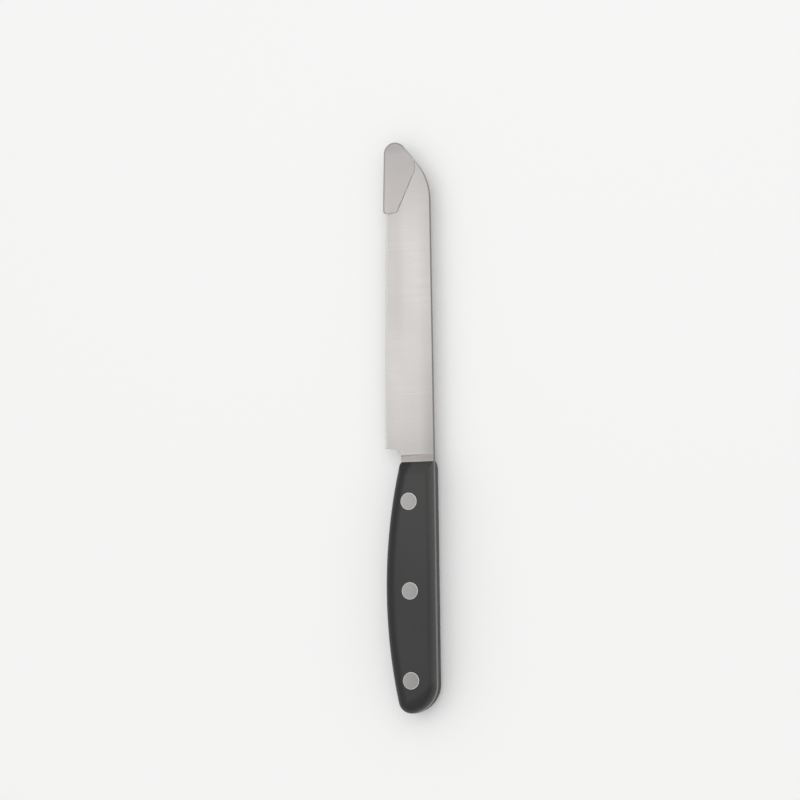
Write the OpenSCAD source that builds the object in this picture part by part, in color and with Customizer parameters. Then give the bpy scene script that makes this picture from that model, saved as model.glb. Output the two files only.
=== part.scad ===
// Tomato knife: one steel piece that is both blade and full tang, two handle
// scales, three two-part rivets and a sleeve that guards the tip.
// It lies on its right scale. +X runs from the butt to the tip, +Y from the
// spine to the cutting edge, +Z out of the left scale. The modules are drawn
// from the front end of the scales, the straight spine and the steel's middle
// plane, and in_frame() moves them to the part's origin.

/* [Handle] */
// Length of the handle, from the front of the scales to the butt
handle_l = 105.8; // [96:0.1:116]
// Thickness across both scales and the tang
handle_t = 14; // [11:0.1:17]
// Depth of the handle where the belly is deepest
handle_h = 21.3; // [19.5:0.1:24]
// Place of that deepest point behind the scales' front, as a share of the length
belly_place = 0.52; // [0.46:0.005:0.58]
// Radius of the belly's long curve, as a multiple of the length
belly_bow = 2.098; // [1.8:0.002:2.5]
// Radius of the corner between belly and butt
butt_corner_r = 5.5; // [5.4:0.1:8]
// Radius of the butt's end curve
butt_r = 30; // [27:0.5:34]
// Lean of the butt, measured where its curve leaves the corner
butt_lean = 19; // [15:0.5:23]
// Radius that turns the spine into the butt
butt_spine_r = 12; // [9:0.5:14]

/* [Scales] */
// Radius that rounds a scale along its belly and butt
edge_round = 5; // [3:0.1:5.3]
// Inset of the same rounding along the spine
spine_round = 2; // [0.5:0.1:2.9]
// Length of the ramp at the front of a scale
ramp_l = 6; // [4:0.1:9]
// Thickness of a scale at the foot of its ramp
ramp_foot = 0.4; // [0.2:0.05:1.2]

/* [Blade] */
// Thickness of the tang, of the neck and of the steel at the heel's spine
steel_t = 2; // [1.6:0.05:2.8]
// Thickness of the ground blade at its spine, in front of the neck
blade_spine_t = 1.9; // [1.5:0.05:2.6]
// Thickness left at the spine near the tip
tip_spine_t = 1.7; // [1.3:0.05:1.9]
// Thickness behind the cutting edge at the heel
edge_t = 0.42; // [0.3:0.02:0.6]
// Length of the blade from the front of the scales to the nose
blade_l = 133.6; // [120:0.1:150]
// Height of the blade at its heel
heel_h = 22.3; // [21:0.1:26]
// Height of the blade where the edge turns into the nose
nose_h = 20.2; // [18:0.1:22]
// Drop of the spine from the neck to the start of the tip curve
spine_drop = 0.4; // [0.1:0.1:1.5]
// Rise of the cutting edge's gentle curve over a straight line
edge_belly = 0.35; // [0:0.05:0.8]
// Radius of the curve that drops from the spine to the nose
tip_r = 24; // [20:0.5:27]
// Radius of the blunt nose
nose_r = 4; // [2:0.1:6]

/* [Neck] */
// Length of the neck that stays unground in front of the scales
neck_l = 2.7; // [2.5:0.1:6]
// Height of the neck at the foot of the heel
neck_h = 14.7; // [14:0.1:17]
// Distance of the heel's corner in front of the scales
heel_x = 6.2; // [5.4:0.1:9]
// Radius of the hollow between neck and heel
heel_r = 4; // [2:0.1:4.5]
// Lean of the heel's straight part
heel_lean = 10; // [4:1:20]
// Radius that the grinding wheel leaves at the end of the blade's faces
plunge_r = 2; // [1:0.1:3]

/* [Edge] */
// Width of the ground bevel on the left face at the heel
bevel_w = 1.15; // [0.8:0.05:1.8]
// Pitch of the fine serration
tooth_pitch = 1.2; // [0.9:0.05:2.4]
// Depth of the serration, measured on the right face
tooth_h = 0.14; // [0.05:0.01:0.4]

/* [Rivets] */
// Diameter of a rivet's head
rivet_d = 7.3; // [6.6:0.1:8.2]
// Thickness of a rivet's head
rivet_head_t = 2; // [1:0.1:3]
// Outer diameter of the socket's tube
tube_d = 4.8; // [4.2:0.1:5.6]
// Diameter of the stud's shank
shank_d = 3.2; // [2.4:0.1:3.6]
// Distance of the front rivet behind the front of the scales
rivet_front = 16.9; // [13:0.1:22]
// Distance of the rear rivet in front of the butt
rivet_rear = 13.7; // [12:0.1:18]
// Distance of the rivets from the spine
rivet_y = 9.3; // [8:0.1:11]

/* [Tip guard] */
// Length of the guard along the blade
guard_l = 29.3; // [24:0.1:38]
// Wall of the guard
guard_wall = 0.55; // [0.4:0.05:1]
// Gap between the blade and the guard
guard_fit = 0.15; // [0.1:0.05:0.3]
// Room between the blade's nose and the end of the guard's pocket
guard_slack = 1.2; // [0.3:0.1:2]
// Depth of the guard's square rear end, measured from the cutting edge
guard_rear_h = 6.4; // [4:0.1:9]
// Distance of the slanted mouth's upper corner from the guard's front end
guard_mouth = 12; // [9:0.1:15]
// Height of that corner over the spine
guard_mouth_h = 7.1; // [5.5:0.1:9]
// Radius of the guard's corners
guard_corner_r = 1.3; // [0.6:0.1:2]

/* [Fits] */
// Clearance on the diameter round the rivet heads
head_fit = 0.05; // [0.02:0.01:0.1]
// Clearance on the diameter round the rivet tubes
tube_fit = 0.2; // [0.1:0.05:0.4]
// Clearance on the diameter between stud and socket
shank_fit = 0.1; // [0.04:0.02:0.2]

/* [Hidden] */
$fn = 64;

steel_color = [0.80, 0.80, 0.79];
scale_color = [0.16, 0.16, 0.16];
rivet_color = [0.70, 0.70, 0.68];
guard_color = [0.78, 0.73, 0.73, 0.8];

// A length that keeps two surfaces from meeting, and a length past everything
thin = 0.01;
past = 40;
// Greatest turn between two points where a belt goes round a circle
belt_step = 12;

// Handle outline: four arcs in a row, each tangent to the next
belly_r = belly_bow * handle_l;
belly_c = [-belly_place * handle_l, handle_h - belly_r];
corner_x = butt_corner_r - handle_l;
corner_c = [corner_x, root_y(belly_c, belly_r - butt_corner_r, corner_x)];
butt_c = corner_c + (butt_r - butt_corner_r) * [cos(butt_lean), sin(butt_lean)];
butt_spine_c = [
    butt_c.x - side(butt_r - butt_spine_r, butt_c.y - butt_spine_r),
    butt_spine_r
];
spine_turn = 360 + angle_of(butt_spine_c - butt_c);
corner_turn = 180 + butt_lean;
belly_turn = angle_of(corner_c - belly_c);

// Blade outline: the spine, the tip curve and the nose
nose_c = [blade_l - nose_r, nose_h - nose_r];
tip_c_y = spine_drop + tip_r;
tip_c = [nose_c.x - side(tip_r - nose_r, tip_c_y - nose_c.y), tip_c_y];
nose_turn = angle_of(nose_c - tip_c);
heel_arc_c = [
    heel_x - heel_r * cos(heel_lean)
        - (heel_h - neck_h - heel_r + heel_r * sin(heel_lean)) * tan(heel_lean),
    neck_h + heel_r
];

// The ground faces: half a thickness as a plane over the blade's outline,
// set by the spine at the neck, the spine near the tip and the edge at the heel
face_z = blade_spine_t / 2;
face_dx = (tip_spine_t - blade_spine_t) / 2 / tip_c.x;
face_dy = (edge_t / 2 - face_z - face_dx * heel_x) / heel_h;

// The bevel leaves the whole thickness behind the edge over its own width
bevel_angle = atan(edge_t / bevel_w);
tooth_count = floor((nose_c.x - heel_x) / tooth_pitch);
tooth_steps = 4;

// Rivets
rivet_pitch = (handle_l - rivet_front - rivet_rear) / 2;
rivet_xs = [for (i = [0:2]) -rivet_front - i * rivet_pitch];
half_t = handle_t / 2;
// Room between a shank and the floor of its socket, and at the tube's end
rivet_end_gap = 0.4;

// Guard: its ends, half the room for the blade and half the outer thickness
right_end = blade_l + guard_slack + guard_wall;
guard_back = right_end - guard_l;
guard_room = face_at(guard_back, guard_mouth_h) + guard_fit;
guard_half = guard_room + guard_wall;
guard_reach = guard_fit + guard_wall;
// The rounding of its long edges stops short of the wall, so that no step of it
// lies level with the pocket's floor
guard_round = 0.9 * guard_wall;

// The guard's outline is a belt round four circles: the rear corner at the
// edge, the nose, the mouth's corner and the other rear corner
corner_r = guard_corner_r;
cap_r = nose_r + guard_reach + guard_slack / 2;
cap_c = [right_end - cap_r, nose_h + guard_reach - cap_r];
rear_y = edge_y(guard_back) + guard_reach;
guard_circles = [
    [guard_back + corner_r, rear_y - corner_r, corner_r],
    [cap_c.x, cap_c.y, cap_r],
    [right_end - guard_mouth, guard_mouth_h + corner_r, corner_r],
    [guard_back + corner_r, rear_y - guard_rear_h + corner_r, corner_r]
];

// The pocket follows the same edge and nose at the wall's distance, and runs
// out through the mouth beside the blade's tip curve
pocket_r = corner_r - guard_wall;
pocket_back = guard_back - past / 4;
pocket_circles = [
    [pocket_back, edge_y(pocket_back) + guard_reach - corner_r, pocket_r],
    [cap_c.x, cap_c.y, cap_r - guard_wall],
    [tip_c.x + guard_slack, -past / 4, pocket_r],
    [pocket_back, -past / 4, pocket_r]
];

// Origin: the middle of the bounding box, on the face that it rests on
left_end = -handle_l;
origin = [(left_end + right_end) / 2, max(heel_h, handle_h) / 2, -half_t];

// The other side of a right-angled triangle, nothing where it can't close
function side(long, short) = sqrt(max(0, long * long - short * short));

// Height of a circle over a place on the X axis
function root_y(centre, r, x) = centre.y + side(r, x - centre.x);

// Direction of a vector in degrees
function angle_of(v) = atan2(v.y, v.x);

// Points of an arc from one direction to another. The insets draw it in: one
// along X and towards the cutting edge, the other towards the spine
function arc(centre, r, from, to, steps, inset = 0, spine_inset = 0) = [
    for (i = [0:steps])
        let (
            a = from + (to - from) * i / steps,
            inset_y = sin(a) < 0 ? spine_inset : inset
        )
        centre + [(r - inset) * cos(a), (r - inset_y) * sin(a)]
];

// Direction in which a belt between two circles, each [x, y, r], faces outwards
function belt_turn(a, b) =
    let (gap = [b.x - a.x, b.y - a.y])
    angle_of(gap) + acos((a.z - b.z) / norm(gap));

// The same direction, turned back by whole turns until it follows another
function follow(turn, before) = turn > before ? follow(turn - 360, before) : turn;

// Outline of a belt that runs clockwise round circles, each [x, y, r]
function belt(circles, inset = 0) =
    let (n = len(circles))
    [
        for (i = [0:n - 1])
            let (
                c = circles[i],
                from = belt_turn(circles[(i + n - 1) % n], c),
                to = follow(belt_turn(c, circles[(i + 1) % n]), from),
                steps = ceil((from - to) / belt_step)
            )
            each arc([c.x, c.y], c.z, from, to, steps, inset, inset)
    ];

// Height of the cutting edge over the spine at a distance along the blade
function edge_y(x) =
    let (u = (x - heel_x) / (nose_c.x - heel_x))
    heel_h + (nose_h - heel_h) * u + 4 * edge_belly * u * (1 - u);

// Half the thickness of the ground blade at a place on its outline
function face_at(x, y) = face_z + face_dx * x + face_dy * y;

// Outline of the handle, which runs on past its front by a given length
function handle_outline(front, inset = 0, spine_inset = 0) =
    let (
        front_turn = acos((front - belly_c.x) / (belly_r - inset)),
        i = inset,
        s = spine_inset
    )
    concat(
        [[front, s]],
        arc(butt_spine_c, butt_spine_r, 270, spine_turn, 10, i, s),
        arc(butt_c, butt_r, spine_turn, corner_turn, 5, i, s),
        arc(corner_c, butt_corner_r, corner_turn, belly_turn, 12, i, s),
        arc(belly_c, belly_r, belly_turn, front_turn, 36, i, s)
    );

// A list of points the other way round
function reverse(points) = [for (i = [len(points) - 1:-1:0]) points[i]];

// Outline of the steel piece: tip curve, nose, edge, heel, neck and tang
function steel_outline() = concat(
    arc(tip_c, tip_r, 270, 360 + nose_turn, 24),
    arc(nose_c, nose_r, nose_turn, 90, 14),
    [for (i = [14:-1:0]) let (x = heel_x + (nose_c.x - heel_x) * i / 15) [x, edge_y(x)]],
    arc(heel_arc_c, heel_r, -heel_lean, -90, 10),
    reverse(handle_outline(0))
);

// Moves a child from the drawing position to the part's own origin
module in_frame() {
    translate(-origin) children();
}

// What the wheel takes off one face: everything over the ground plane, ended
// at the neck by the wheel's own radius
module face_grind() {
    start_x = neck_l + plunge_r / 2;
    translate([start_x, 0, face_at(start_x, 0)])
        rotate([atan(face_dy), -atan(face_dx), 0])
        translate([0, -past / 4, 0]) {
            cube([blade_l + past, past + heel_h, steel_t]);
            translate([0, 0, plunge_r])
                rotate([-90, 0, 0])
                cylinder(r = plunge_r, h = past + heel_h);
        }
}

// What the stone takes off the left face along the edge: a slanted bevel whose
// floor is a row of shallow hollows, so that the edge ends in fine teeth
module edge_grind() {
    hollow = tooth_h * sin(bevel_angle);
    steps = tooth_count * tooth_steps;
    floor_line = [
        for (i = [0:steps])
            let (
                x = heel_x + (nose_c.x - heel_x) * i / steps,
                y = edge_y(x) - thin,
                u = (i % tooth_steps) / tooth_steps,
                plain = y * sin(bevel_angle) - face_at(x, y) * cos(bevel_angle)
            )
            [x, plain - 4 * hollow * u * (1 - u)]
    ];
    first = floor_line[0];
    last = floor_line[steps];
    rotate([90 - bevel_angle, 0, 0])
        linear_extrude(height = 2 * past, center = true)
        polygon(concat(
            [[first.x - heel_r, first.y]],
            floor_line,
            [[last.x + nose_r, last.y + nose_r], [first.x - heel_r, last.y + nose_r]]
        ));
}

// The one steel piece: ground blade, neck and full tang with three holes
module blade() {
    color(steel_color)
        in_frame()
        difference() {
            linear_extrude(height = steel_t, center = true)
                polygon(steel_outline());
            for (flip = [0, 1])
                mirror([0, 0, flip]) face_grind();
            edge_grind();
            for (x = rivet_xs)
                translate([x, rivet_y, 0])
                cylinder(d = tube_d + tube_fit, h = 2 * steel_t, center = true);
        }
}

// A solid through a stack of outlines that all have the same number of points
module stack(rings) {
    n = len(rings[0]);
    top = len(rings) - 1;
    polyhedron(
        points = [for (ring = rings) each ring],
        faces = concat(
            [[for (i = [n - 1:-1:0]) i]],
            [for (k = [0:top - 1], i = [0:n - 1])
                let (j = (i + 1) % n)
                each [
                    [k * n + i, k * n + j, (k + 1) * n + j],
                    [k * n + i, (k + 1) * n + j, (k + 1) * n + i]
                ]
            ],
            [[for (i = [0:n - 1]) top * n + i]]
        )
    );
}

// Lifts an outline to a height
function lift(outline, z) = [for (p = outline) [p.x, p.y, z]];

// A scale without its holes: the outline is drawn in towards the face, which
// rounds it along belly, butt and spine, and its front is ramped
module scale_blank() {
    front = past / 4;
    intersection() {
        stack(concat(
            [lift(handle_outline(front), steel_t / 2)],
            [for (a = [0:15:90])
                lift(
                    handle_outline(front, edge_round * (1 - cos(a)), spine_round * (1 - cos(a))),
                    half_t - edge_round * (1 - sin(a))
                )
            ]
        ));
        scale_side();
    }
}

// Side view of a scale: flat on the tang, level on top, a convex ramp in front
module scale_side() {
    rise = half_t - steel_t / 2 - ramp_foot;
    ramp = [
        for (i = [0:10])
            let (u = i / 10)
            [-ramp_l * u, half_t - rise * pow(1 - u, 1.6)]
    ];
    rotate([90, 0, 0])
        translate([0, 0, -past])
        linear_extrude(height = 2 * past)
        polygon(concat(
            [[0, steel_t / 2]],
            ramp,
            [[-handle_l - past, half_t], [-handle_l - past, steel_t / 2]]
        ));
}

// A scale with the counterbores for the heads and the holes for the tubes
module scale_half() {
    difference() {
        scale_blank();
        for (x = rivet_xs)
            translate([x, rivet_y, 0]) {
                cylinder(d = tube_d + tube_fit, h = handle_t);
                translate([0, 0, half_t - rivet_head_t])
                    cylinder(d = rivet_d + head_fit, h = handle_t);
            }
    }
}

module left_scale() {
    color(scale_color) in_frame() scale_half();
}

module right_scale() {
    color(scale_color) in_frame() mirror([0, 0, 1]) scale_half();
}

// The solid half of a rivet: a head flush with the left scale and a shank that
// is pressed into the socket
module rivet_stud(index) {
    shank_l = handle_t - 2 * rivet_head_t - 2 * rivet_end_gap;
    color(rivet_color)
        in_frame()
        translate([rivet_xs[index], rivet_y, half_t - rivet_head_t]) {
            cylinder(d = rivet_d, h = rivet_head_t);
            translate([0, 0, -shank_l])
                cylinder(d = shank_d, h = shank_l + thin);
        }
}

// The hollow half of a rivet: a head flush with the right scale and a tube
// that runs through the scale and the tang
module rivet_socket(index) {
    tube_l = handle_t - 2 * rivet_head_t - rivet_end_gap;
    color(rivet_color)
        in_frame()
        translate([rivet_xs[index], rivet_y, -half_t])
        difference() {
            union() {
                cylinder(d = rivet_d, h = rivet_head_t);
                cylinder(d = tube_d, h = rivet_head_t + tube_l);
            }
            translate([0, 0, rivet_head_t])
                cylinder(d = shank_d + shank_fit, h = handle_t);
        }
}

module front_rivet_stud() { rivet_stud(0); }
module front_rivet_socket() { rivet_socket(0); }
module middle_rivet_stud() { rivet_stud(1); }
module middle_rivet_socket() { rivet_socket(1); }
module rear_rivet_stud() { rivet_stud(2); }
module rear_rivet_socket() { rivet_socket(2); }

// The guard: a flat sleeve with rounded edges and a pocket for the blade
module tip_guard() {
    r = guard_round;
    lower = [for (a = [-90:30:0]) [r * (1 - cos(a)), r * (1 + sin(a)) - guard_half]];
    upper = [for (a = [0:30:90]) [r * (1 - cos(a)), guard_half - r * (1 - sin(a))]];
    color(guard_color)
        in_frame()
        difference() {
            stack([for (p = concat(lower, upper)) lift(belt(guard_circles, p.x), p.y)]);
            linear_extrude(height = 2 * guard_room, center = true)
                polygon(belt(pocket_circles));
        }
}

blade();
left_scale();
right_scale();
front_rivet_stud();
front_rivet_socket();
middle_rivet_stud();
middle_rivet_socket();
rear_rivet_stud();
rear_rivet_socket();
tip_guard();
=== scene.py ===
"""Dresses the tomato knife: ground steel, moulded scales, rivets and tip guard.

The pieces are drawn in millimetres in the knife's drawing frame: X runs from
the front of the scales to the tip, Y from the spine to the cutting edge and Z
out of the left scale, with the steel's middle plane at nought. Datum moves
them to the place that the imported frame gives.
"""

import logging
import math
from contextlib import contextmanager
from dataclasses import dataclass, field
from enum import Enum
from typing import Callable, Iterable, Iterator, Sequence, TypeAlias

import bmesh
import bpy
import numpy as np
from mathutils import Matrix, Vector


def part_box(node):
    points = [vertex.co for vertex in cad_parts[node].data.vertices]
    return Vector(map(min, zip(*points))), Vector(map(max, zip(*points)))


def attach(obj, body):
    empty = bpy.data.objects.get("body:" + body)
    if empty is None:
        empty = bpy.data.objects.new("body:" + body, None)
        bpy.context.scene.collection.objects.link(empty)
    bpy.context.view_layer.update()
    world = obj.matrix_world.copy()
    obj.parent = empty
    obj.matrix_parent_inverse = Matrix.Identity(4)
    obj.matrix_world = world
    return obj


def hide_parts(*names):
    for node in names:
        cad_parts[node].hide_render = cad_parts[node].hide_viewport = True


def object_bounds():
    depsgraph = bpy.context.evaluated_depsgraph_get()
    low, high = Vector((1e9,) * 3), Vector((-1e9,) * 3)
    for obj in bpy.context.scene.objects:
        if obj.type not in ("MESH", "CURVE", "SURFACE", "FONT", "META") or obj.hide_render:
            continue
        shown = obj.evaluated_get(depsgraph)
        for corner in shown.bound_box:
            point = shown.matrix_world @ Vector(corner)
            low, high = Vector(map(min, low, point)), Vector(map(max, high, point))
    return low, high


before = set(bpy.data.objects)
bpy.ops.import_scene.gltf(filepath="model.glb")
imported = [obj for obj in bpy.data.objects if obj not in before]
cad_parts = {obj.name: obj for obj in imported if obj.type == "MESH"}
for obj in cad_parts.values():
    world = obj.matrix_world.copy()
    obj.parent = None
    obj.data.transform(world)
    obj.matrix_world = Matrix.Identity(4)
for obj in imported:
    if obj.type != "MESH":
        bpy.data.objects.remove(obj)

CAD_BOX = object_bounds()
LOG = logging.getLogger("tomato_knife")

MM = 0.001
WELD = MM * 1e-4
SLIVER = MM * 2e-4
ROUND_STEPS = 96

Point: TypeAlias = tuple[float, float]
Span: TypeAlias = tuple[float, float]
Circle: TypeAlias = tuple[float, float, float]
Colour: TypeAlias = tuple[float, float, float, float]
Number: TypeAlias = "float | Wire"


# Node trees


class Wire:
    """A node's output; Python's operators on it add Math nodes."""

    def __init__(self, board: "Board", socket: bpy.types.NodeSocket) -> None:
        """Keeps the socket and the board that it is on."""
        self.board = board
        self.socket = socket

    def math(self, operation: str, *others: Number) -> "Wire":
        """Adds one Math node with this wire as its first value.

        Args:
            operation: the Math node's operation.
            others: its other values in order, numbers or wires.

        Returns:
            The result.
        """
        return self.board.math(operation, self, *others)

    def __add__(self, other: Number) -> "Wire":
        """Adds."""
        return self.math("ADD", other)

    def __radd__(self, other: float) -> "Wire":
        """Adds, the other way round."""
        return self.math("ADD", other)

    def __sub__(self, other: Number) -> "Wire":
        """Subtracts."""
        return self.math("SUBTRACT", other)

    def __rsub__(self, other: float) -> "Wire":
        """Subtracts, the other way round."""
        return self.board.math("SUBTRACT", other, self)

    def __mul__(self, other: Number) -> "Wire":
        """Multiplies."""
        return self.math("MULTIPLY", other)

    def __rmul__(self, other: float) -> "Wire":
        """Multiplies, the other way round."""
        return self.math("MULTIPLY", other)

    def __truediv__(self, other: Number) -> "Wire":
        """Divides."""
        return self.math("DIVIDE", other)

    def __neg__(self) -> "Wire":
        """Turns the sign."""
        return self.math("MULTIPLY", -1.0)


class Board:
    """A node tree that is filled one node at a time."""

    def __init__(self, tree: bpy.types.NodeTree) -> None:
        """Starts on an empty tree."""
        self.tree = tree
        tree.nodes.clear()

    def add(
        self,
        kind: str,
        settings: dict | None = None,
        values: dict | None = None,
        output: int | str = 0,
    ) -> Wire:
        """Adds a node of any type.

        Args:
            kind: the node's type.
            settings: its properties, set first; items is the number of
                an index switch's items.
            values: numbers, colours, vectors or wires for its sockets, by
                name or by place among the sockets in use.
            output: which of its outputs is returned.

        Returns:
            The output as a wire.
        """
        node = self.tree.nodes.new(kind)
        for key, value in (settings or {}).items():
            if key == "items":
                for _ in range(value - len(node.index_switch_items)):
                    node.index_switch_items.new()
            else:
                setattr(node, key, value)
        for key, value in (values or {}).items():
            socket = self.pick(node.inputs, key)
            if isinstance(value, Wire):
                self.tree.links.new(value.socket, socket)
            else:
                socket.default_value = value
        return Wire(self, self.pick(node.outputs, output))

    @staticmethod
    def pick(sockets: Iterable[bpy.types.NodeSocket], key: int | str) -> bpy.types.NodeSocket:
        """One of a node's sockets in use, by name or by place."""
        used = [s for s in sockets if s.enabled]
        return used[key] if isinstance(key, int) else next(s for s in used if s.name == key)

    def math(self, operation: str, *values: Number) -> Wire:
        """Adds one Math node on numbers or wires."""
        return self.add("ShaderNodeMath", {"operation": operation}, dict(enumerate(values)))

    def parts(self, vector: Wire) -> list[Wire]:
        """A vector's X, Y and Z."""
        split = self.add("ShaderNodeSeparateXYZ", None, {0: vector})
        return [Wire(self, output) for output in split.socket.node.outputs]

    def end(self, kind: str, wire: Wire) -> None:
        """Ends the tree in an output node of a type."""
        sink = self.tree.nodes.new(kind)
        self.tree.links.new(wire.socket, sink.inputs[0])


class FormTree(Board):
    """A Geometry Nodes tree with named inputs for its sizes."""

    def __init__(self, name: str, takes_mesh: bool) -> None:
        """Makes the tree and its ends.

        Args:
            name: the tree's name.
            takes_mesh: whether it works on the object's own mesh.
        """
        super().__init__(bpy.data.node_groups.new(name, "GeometryNodeTree"))
        self.inputs: dict[str, str] = {}
        face = self.tree.interface
        face.new_socket("Geometry", in_out="OUTPUT", socket_type="NodeSocketGeometry")
        if takes_mesh:
            face.new_socket(
                "Geometry", in_out="INPUT", socket_type="NodeSocketGeometry"
            )
        self.source = self.tree.nodes.new("NodeGroupInput")

    def input(self, name: str, kind: str = "NodeSocketFloat") -> Wire:
        """Adds a named input.

        Args:
            name: what it is called.
            kind: its socket type.

        Returns:
            Its wire inside the tree.
        """
        made = self.tree.interface.new_socket(name, in_out="INPUT", socket_type=kind)
        self.inputs[name] = made.identifier
        return Wire(self, next(s for s in self.source.outputs if s.name == name))

    def finish(self, form: Wire) -> None:
        """Ends the tree in realized instances, a material and the output."""
        real = self.add("GeometryNodeRealizeInstances", None, {"Geometry": form})
        dressed = self.add(
            "GeometryNodeSetMaterial",
            None,
            {"Geometry": real, "Material": self.input("Material", "NodeSocketMaterial")},
        )
        self.end("NodeGroupOutput", dressed)

    def grow(self, piece: bpy.types.Object, **values: object) -> bpy.types.Object:
        """Runs the tree on a piece and keeps the result as its plain mesh.

        Args:
            piece: the object that gets the form.
            values: the named inputs, with _ for a space.

        Returns:
            The same piece.
        """
        modifier = piece.modifiers.new("form", "NODES")
        modifier.node_group = self.tree
        for name, value in values.items():
            modifier[self.inputs[name.replace("_", " ")]] = value
        return settle(piece)


# Mesh making


def settle(piece: bpy.types.Object) -> bpy.types.Object:
    """Turns a piece's modifiers into its plain mesh and removes them."""
    graph = bpy.context.evaluated_depsgraph_get()
    graph.update()
    mesh = bpy.data.meshes.new_from_object(
        piece.evaluated_get(graph), preserve_all_data_layers=True, depsgraph=graph
    )
    piece.modifiers.clear()
    piece.data = mesh
    mesh.name = piece.name
    return piece


def new_piece(name: str, mesh: bpy.types.Mesh | None = None) -> bpy.types.Object:
    """Puts a new object into the scene, at the origin."""
    piece = bpy.data.objects.new(name, mesh or bpy.data.meshes.new(name))
    bpy.context.scene.collection.objects.link(piece)
    return piece


@contextmanager
def editing(mesh: bpy.types.Mesh) -> Iterator[bmesh.types.BMesh]:
    """Opens a mesh for editing and writes it back at the end."""
    work = bmesh.new()
    work.from_mesh(mesh)
    yield work
    work.to_mesh(mesh)
    work.free()


def mesh_piece(
    name: str, points: Sequence[Sequence[float]], faces: Sequence[Sequence[int]]
) -> bpy.types.Object:
    """Makes a piece from its points and faces as they are.

    Args:
        name: the object's name.
        points: its points in metres, in the part's frame.
        faces: its faces as lists of point numbers.

    Returns:
        The piece.
    """
    mesh = bpy.data.meshes.new(name)
    mesh.from_pydata([tuple(p) for p in points], [], [tuple(f) for f in faces])
    return new_piece(name, mesh)


def mark(piece: bpy.types.Object, name: str, domain: str, values: Sequence[float]) -> None:
    """Writes a number on each point or face of a piece."""
    layer = piece.data.attributes.new(name, "FLOAT", domain)
    layer.data.foreach_set("value", np.asarray(values, np.float32))


def carve(piece: bpy.types.Object, *cutters: bpy.types.Object) -> bpy.types.Object:
    """Cuts other solids out of a piece and removes them.

    Args:
        piece: what is cut.
        cutters: what cuts it.

    Returns:
        The piece.
    """
    for cutter in cutters:
        modifier = piece.modifiers.new("carve", "BOOLEAN")
        modifier.operation = "DIFFERENCE"
        modifier.solver = "EXACT"
        modifier.object = cutter
    settle(piece)
    for cutter in cutters:
        bpy.data.objects.remove(cutter)
    return piece


def crisp(piece: bpy.types.Object, degrees: float = 24.0) -> None:
    """Shades a piece smooth, with sharp edges where faces turn further.

    Args:
        piece: the piece.
        degrees: the least turn of a sharp edge.
    """
    with editing(piece.data) as work:
        bmesh.ops.remove_doubles(work, verts=work.verts, dist=SLIVER)
        bmesh.ops.dissolve_degenerate(work, edges=work.edges, dist=SLIVER)
        for face in work.faces:
            face.smooth = True
        for edge in work.edges:
            edge.smooth = edge.calc_face_angle(0.0) < math.radians(degrees)
    modifier = piece.modifiers.new("shade", "WEIGHTED_NORMAL")
    modifier.keep_sharp = True
    modifier.weight = 100
    settle(piece)


def dress(piece: bpy.types.Object, material: bpy.types.Material) -> bpy.types.Object:
    """Gives a piece one material in place of any other."""
    piece.data.materials.clear()
    piece.data.materials.append(material)
    return piece


@dataclass(frozen=True)
class Datum:
    """Where the drawing frame's zero point lies in the part, in metres."""

    x: float
    y: float
    z: float

    @classmethod
    def from_cad(cls) -> "Datum":
        """Reads it from the CAD scales: their front, spine and middle plane."""
        left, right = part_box("left_scale"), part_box("right_scale")
        return cls(left[1].x, left[0].y, (left[1].z + right[0].z) / 2)

    @property
    def zero(self) -> np.ndarray:
        """The zero point as a vector."""
        return np.array([self.x, self.y, self.z])

    def place(self, points: Sequence[Sequence[float]]) -> np.ndarray:
        """Moves drawing points in millimetres to the part's frame in metres."""
        return np.asarray(points, float) * MM + self.zero

    def drawn(self, piece: bpy.types.Object) -> np.ndarray:
        """A piece's points as drawing points in millimetres."""
        points = np.empty(len(piece.data.vertices) * 3)
        piece.data.vertices.foreach_get("co", points)
        return (points.reshape(-1, 3) - self.zero) / MM


DATUM = Datum.from_cad()


def ring_stack(name: str, rings: Sequence[Sequence[Sequence[float]]]) -> bpy.types.Object:
    """Makes a closed solid through a stack of outlines, its faces turned outwards.

    Args:
        name: the object's name.
        rings: the outlines, all with the same number of points, in mm.

    Returns:
        The piece.
    """
    count = len(rings[0])
    faces: list[list[int]] = [list(range(count))]
    for level in range(len(rings) - 1):
        low, high = level * count, (level + 1) * count
        for i in range(count):
            j = (i + 1) % count
            faces.append([low + i, low + j, high + j, high + i])
    faces.append([(len(rings) - 1) * count + i for i in range(count)])
    piece = mesh_piece(name, DATUM.place([p for ring in rings for p in ring]), faces)
    with editing(piece.data) as work:
        bmesh.ops.remove_doubles(work, verts=work.verts, dist=WELD)
        bmesh.ops.recalc_face_normals(work, faces=work.faces)
    return piece


def prism(
    name: str, outline: Sequence[Point], lift: Callable[[Point, float], Sequence[float]],
    low: float, high: float,
) -> bpy.types.Object:
    """Makes a straight solid from an outline.

    Args:
        name: the object's name.
        outline: its section.
        lift: turns a section point and a height into a drawing point.
        low: where it starts, in mm.
        high: where it ends, in mm.

    Returns:
        The piece.
    """
    return ring_stack(name, [[lift(p, h) for p in outline] for h in (low, high)])


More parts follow.
